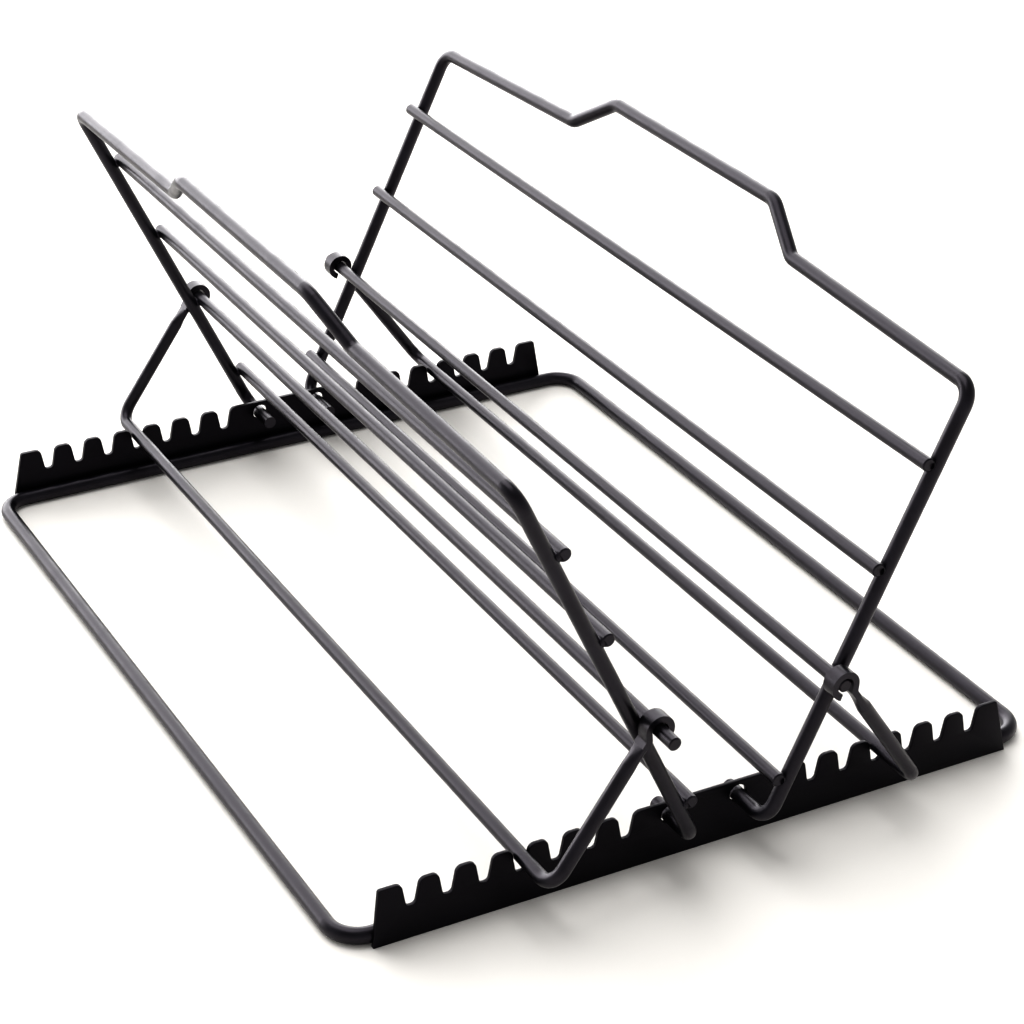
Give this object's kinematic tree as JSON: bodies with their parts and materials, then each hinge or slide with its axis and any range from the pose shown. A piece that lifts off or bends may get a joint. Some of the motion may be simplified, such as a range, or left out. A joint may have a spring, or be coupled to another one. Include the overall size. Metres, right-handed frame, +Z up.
{
  "type": "book display stand",
  "caption": "Folding wire stand that holds an open book: hinged wire leaves, swinging wire props and toothed racks on a wire base.",
  "frame": {"origin": "on the table, below the middle of the stand's length", "axes": "+X along the toothed racks to the right, +Y along the book's spine to the rear rack, +Z up"},
  "size_m": [0.2644, 0.3793, 0.1731],
  "materials": {
    "wire_coat": "satin black coating on bent steel wire",
    "rack_coat": "satin black coating on flat steel strip"
  },
  "bodies": {
    "base": {"base_frame": "wire_coat", "front_rack": "rack_coat", "rear_rack": "rack_coat"},
    "left_leaf": {"left_leaf_frame": "wire_coat", "left_bottom_rod": "wire_coat", "left_axle_rod": "wire_coat", "left_upper_rod": "wire_coat", "left_top_rod": "wire_coat"},
    "left_prop": {"left_prop": "wire_coat"},
    "right_leaf": {"right_leaf_frame": "wire_coat", "right_bottom_rod": "wire_coat", "right_axle_rod": "wire_coat", "right_upper_rod": "wire_coat", "right_top_rod": "wire_coat"},
    "right_prop": {"right_prop": "wire_coat"}
  },
  "joints": [
    {"name": "left_leaf_hinge", "type": "hinge", "parent": "base", "child": "left_leaf", "pos_m": [-0.0129, 0, 0.0159], "axis": [0, 1, 0], "range_deg": [0, 27.4]},
    {"name": "left_prop_swing", "type": "hinge", "parent": "left_leaf", "child": "left_prop", "pos_m": [-0.032, 0, 0.06661], "axis": [0, 1, 0], "range_deg": [0, 107]},
    {"name": "right_leaf_hinge", "type": "hinge", "parent": "base", "child": "right_leaf", "pos_m": [0.0129, 0, 0.0159], "axis": [0, -1, 0], "range_deg": [0, 27.4]},
    {"name": "right_prop_swing", "type": "hinge", "parent": "right_leaf", "child": "right_prop", "pos_m": [0.032, 0, 0.06661], "axis": [0, -1, 0], "range_deg": [0, 107]}
  ]
}
